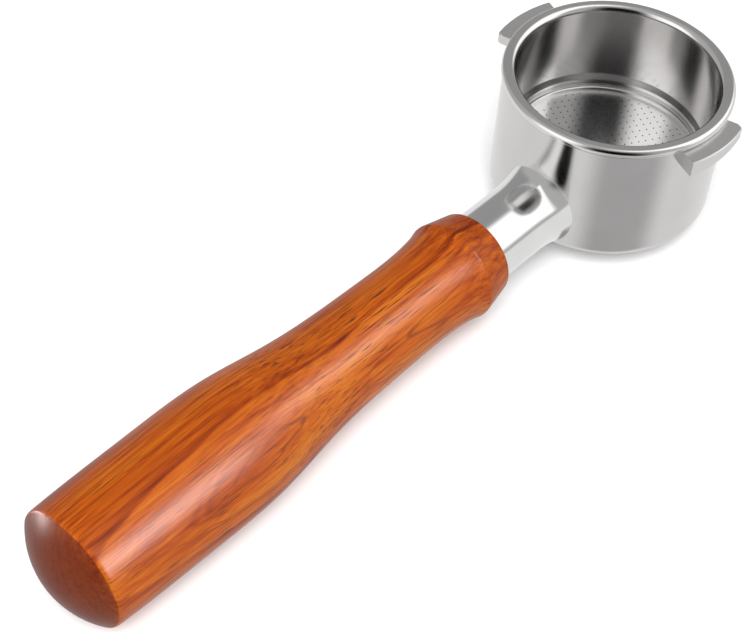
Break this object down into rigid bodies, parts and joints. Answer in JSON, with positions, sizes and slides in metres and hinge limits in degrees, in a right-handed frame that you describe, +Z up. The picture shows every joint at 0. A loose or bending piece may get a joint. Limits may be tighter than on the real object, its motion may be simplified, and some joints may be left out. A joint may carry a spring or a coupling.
{
  "type": "portafilter",
  "caption": "Bottomless espresso portafilter: steel holder with bayonet lugs, a removable perforated basket held by a wire spring, and a screw-on turned wooden handle.",
  "frame": {"origin": "on the cup's axis, in the plane of the basket's rim, which seals in the group head", "axes": "+Z up the cup's axis, out of the basket's mouth; -Y out along the handle; the lugs stand out near +X and -X"},
  "size_m": [0.0668, 0.2153, 0.0422],
  "materials": {
    "holder_steel": "satin polished, mirror bright on the neck",
    "basket_steel": "satin inside, bright rolled rim",
    "spring_steel": "drawn spring wire and plain washer steel",
    "stud_steel": "rolled thread, bright",
    "insert_brass": "machined",
    "handle_wood": "red-brown hardwood under clear gloss lacquer"
  },
  "bodies": {
    "holder": {"holder_body": "holder_steel", "handle_stud": "stud_steel"},
    "spring": {"basket_spring": "spring_steel"},
    "basket": {"filter_basket": "basket_steel"},
    "washer": {"handle_washer": "spring_steel"},
    "handle": {"wooden_handle": "handle_wood", "handle_insert": "insert_brass"}
  },
  "joints": [
    {"name": "basket_turn", "type": "hinge", "parent": "holder", "child": "spring", "pos_m": [0, 0, -0.008], "axis": [0, 0, 1], "continuous": true},
    {"name": "basket_lift", "type": "slide", "parent": "spring", "child": "basket", "axis": [0, 0, 1], "range_m": [0, 0.036]},
    {"name": "handle_travel", "type": "slide", "parent": "holder", "child": "washer", "axis": [0, -1, 0], "range_m": [0, 0.0226]},
    {"name": "handle_turn", "type": "hinge", "parent": "washer", "child": "handle", "pos_m": [0, -0.053, -0.0265], "axis": [0, -1, 0], "range_deg": [0, 5400]}
  ],
  "couplings": [
    {"joint": "handle_travel", "follows": "handle_turn", "m_per_rad": 0.00023873}
  ]
}
